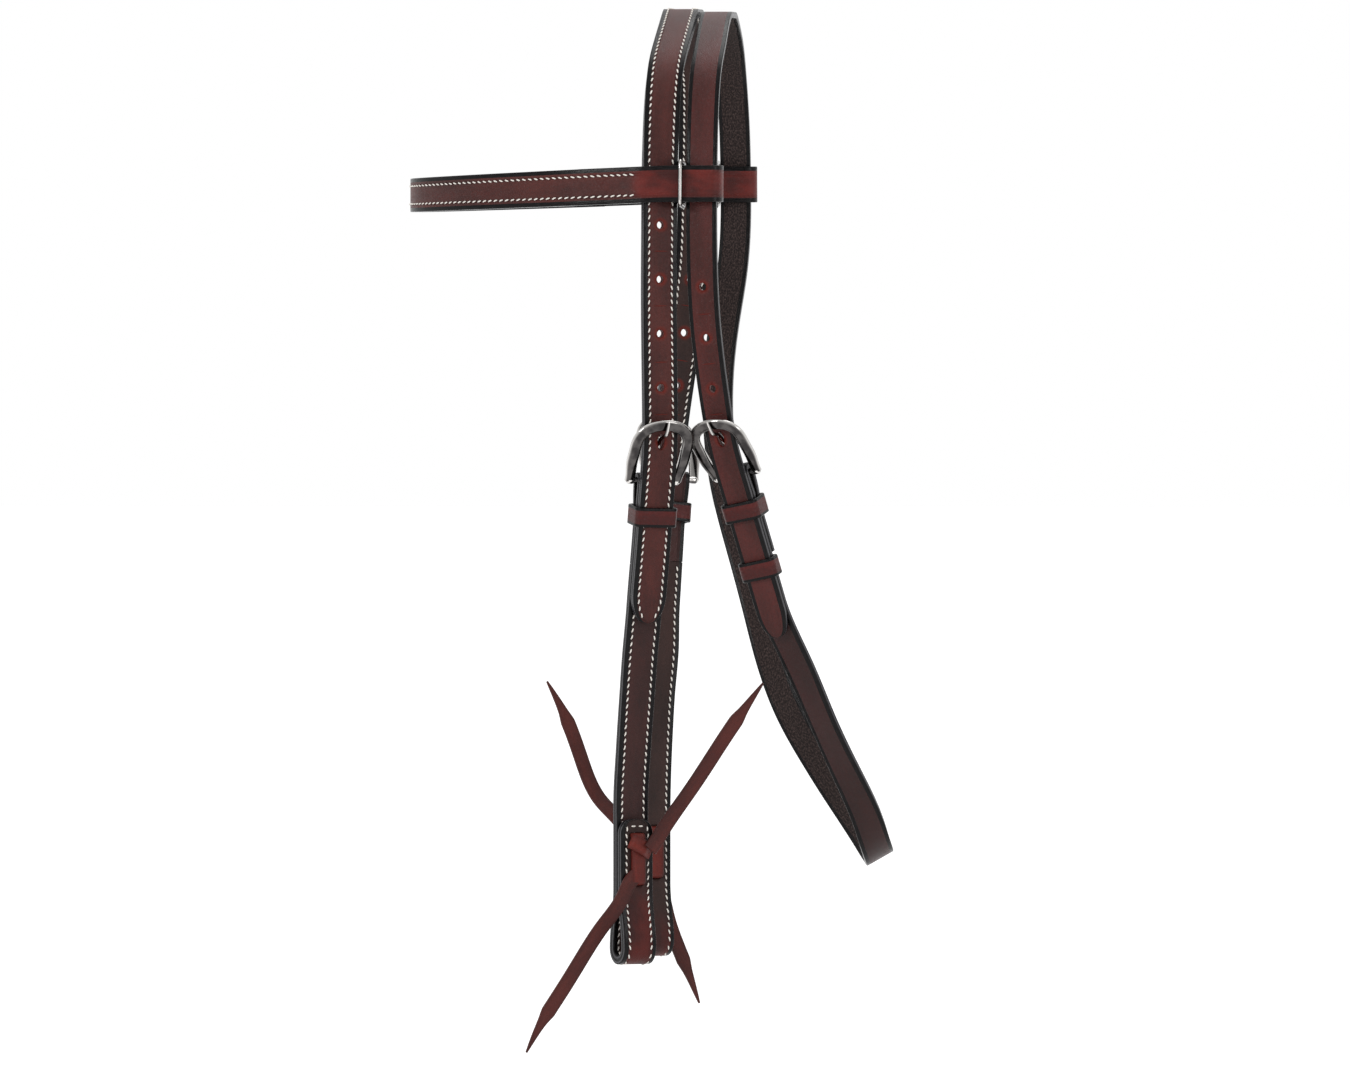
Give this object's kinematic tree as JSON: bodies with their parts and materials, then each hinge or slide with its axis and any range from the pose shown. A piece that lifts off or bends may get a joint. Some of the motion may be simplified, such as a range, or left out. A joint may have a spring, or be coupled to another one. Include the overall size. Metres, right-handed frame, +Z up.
{
  "type": "western headstall",
  "caption": "Western browband headstall in doubled, stitched leather, with throatlatch, horseshoe buckles, keepers and laced bit ends.",
  "frame": {"origin": "under the middle of the crown strap, where it lies on the poll", "axes": "+Z up, -X towards the horse's brow, -Y towards the near (left) side of the head"},
  "size_m": [0.2645, 0.2197, 0.5588],
  "materials": {
    "chestnut_leather": "oiled chestnut strap leather with burnished edges",
    "loop_leather": "smooth red-brown leather",
    "latigo_lace": "soft red-brown latigo lace",
    "polished_steel": "polished steel"
  },
  "bodies": {
    "straps": {"crown_strap": "chestnut_leather", "crown_lining": "chestnut_leather", "near_cheek_strap": "chestnut_leather", "near_cheek_lining": "chestnut_leather", "far_cheek_strap": "chestnut_leather", "far_cheek_lining": "chestnut_leather", "throatlatch_strap": "chestnut_leather", "near_bit_lace_wrap": "latigo_lace", "far_bit_lace_wrap": "latigo_lace", "near_bit_lace_tail_up": "latigo_lace", "near_bit_lace_tail_down": "latigo_lace", "far_bit_lace_tail_up": "latigo_lace", "far_bit_lace_tail_down": "latigo_lace"},
    "browband": {"browband_face": "loop_leather", "browband_lining": "chestnut_leather", "near_loop_divider": "polished_steel", "far_loop_divider": "polished_steel"},
    "near_cheek_frame": {"near_cheek_buckle_frame": "polished_steel"},
    "near_cheek_tongue": {"near_cheek_buckle_tongue": "polished_steel"},
    "far_cheek_frame": {"far_cheek_buckle_frame": "polished_steel"},
    "far_cheek_tongue": {"far_cheek_buckle_tongue": "polished_steel"},
    "throat_frame": {"throat_buckle_frame": "polished_steel"},
    "throat_tongue": {"throat_buckle_tongue": "polished_steel"},
    "near_keeper": {"near_cheek_keeper": "loop_leather"},
    "far_keeper": {"far_cheek_keeper": "loop_leather"},
    "throat_keeper_upper": {"throat_keeper_a": "loop_leather"},
    "throat_keeper_lower": {"throat_keeper_b": "loop_leather"}
  },
  "joints": [
    {"name": "browband_slide", "type": "slide", "parent": "straps", "child": "browband", "axis": [0, 0, 1], "range_m": [-0.007, 0.001]},
    {"name": "near_cheek_frame_hinge", "type": "hinge", "parent": "straps", "child": "near_cheek_frame", "pos_m": [-0.00877, -0.08783, -0.24839], "axis": [0.8959, 0.4433, -0.0293], "range_deg": [-2, 1.5]},
    {"name": "near_cheek_tongue_hinge", "type": "hinge", "parent": "near_cheek_frame", "child": "near_cheek_tongue", "pos_m": [-0.00877, -0.08783, -0.24839], "axis": [0.8959, 0.4433, -0.0293], "range_deg": [0, 1.5]},
    {"name": "far_cheek_frame_hinge", "type": "hinge", "parent": "straps", "child": "far_cheek_frame", "pos_m": [-0.01423, 0.08665, -0.24895], "axis": [-0.8968, -0.4333, 0.0893], "range_deg": [-2, 1.5]},
    {"name": "far_cheek_tongue_hinge", "type": "hinge", "parent": "far_cheek_frame", "child": "far_cheek_tongue", "pos_m": [-0.01423, 0.08665, -0.24895], "axis": [-0.8968, -0.4333, 0.0893], "range_deg": [0, 1.5]},
    {"name": "throat_frame_hinge", "type": "hinge", "parent": "straps", "child": "throat_frame", "pos_m": [0.03589, -0.08005, -0.24516], "axis": [0.9122, -0.3613, 0.1934], "range_deg": [-2, 1.5]},
    {"name": "throat_tongue_hinge", "type": "hinge", "parent": "throat_frame", "child": "throat_tongue", "pos_m": [0.03589, -0.08005, -0.24516], "axis": [0.9122, -0.3613, 0.1934], "range_deg": [0, 1.5]},
    {"name": "near_keeper_slide", "type": "slide", "parent": "straps", "child": "near_keeper", "axis": [0.0858, -0.1198, 0.9891], "range_m": [-0.01, 0.003]},
    {"name": "far_keeper_slide", "type": "slide", "parent": "straps", "child": "far_keeper", "axis": [0.0483, 0.1207, 0.9915], "range_m": [-0.01, 0.003]},
    {"name": "throat_keeper_a_slide", "type": "slide", "parent": "straps", "child": "throat_keeper_upper", "axis": [-0.2637, -0.1762, 0.9484], "range_m": [-0.01, 0.002]},
    {"name": "throat_keeper_b_slide", "type": "slide", "parent": "straps", "child": "throat_keeper_lower", "axis": [-0.2638, -0.173, 0.9489], "range_m": [-0.01, 0.001]}
  ]
}
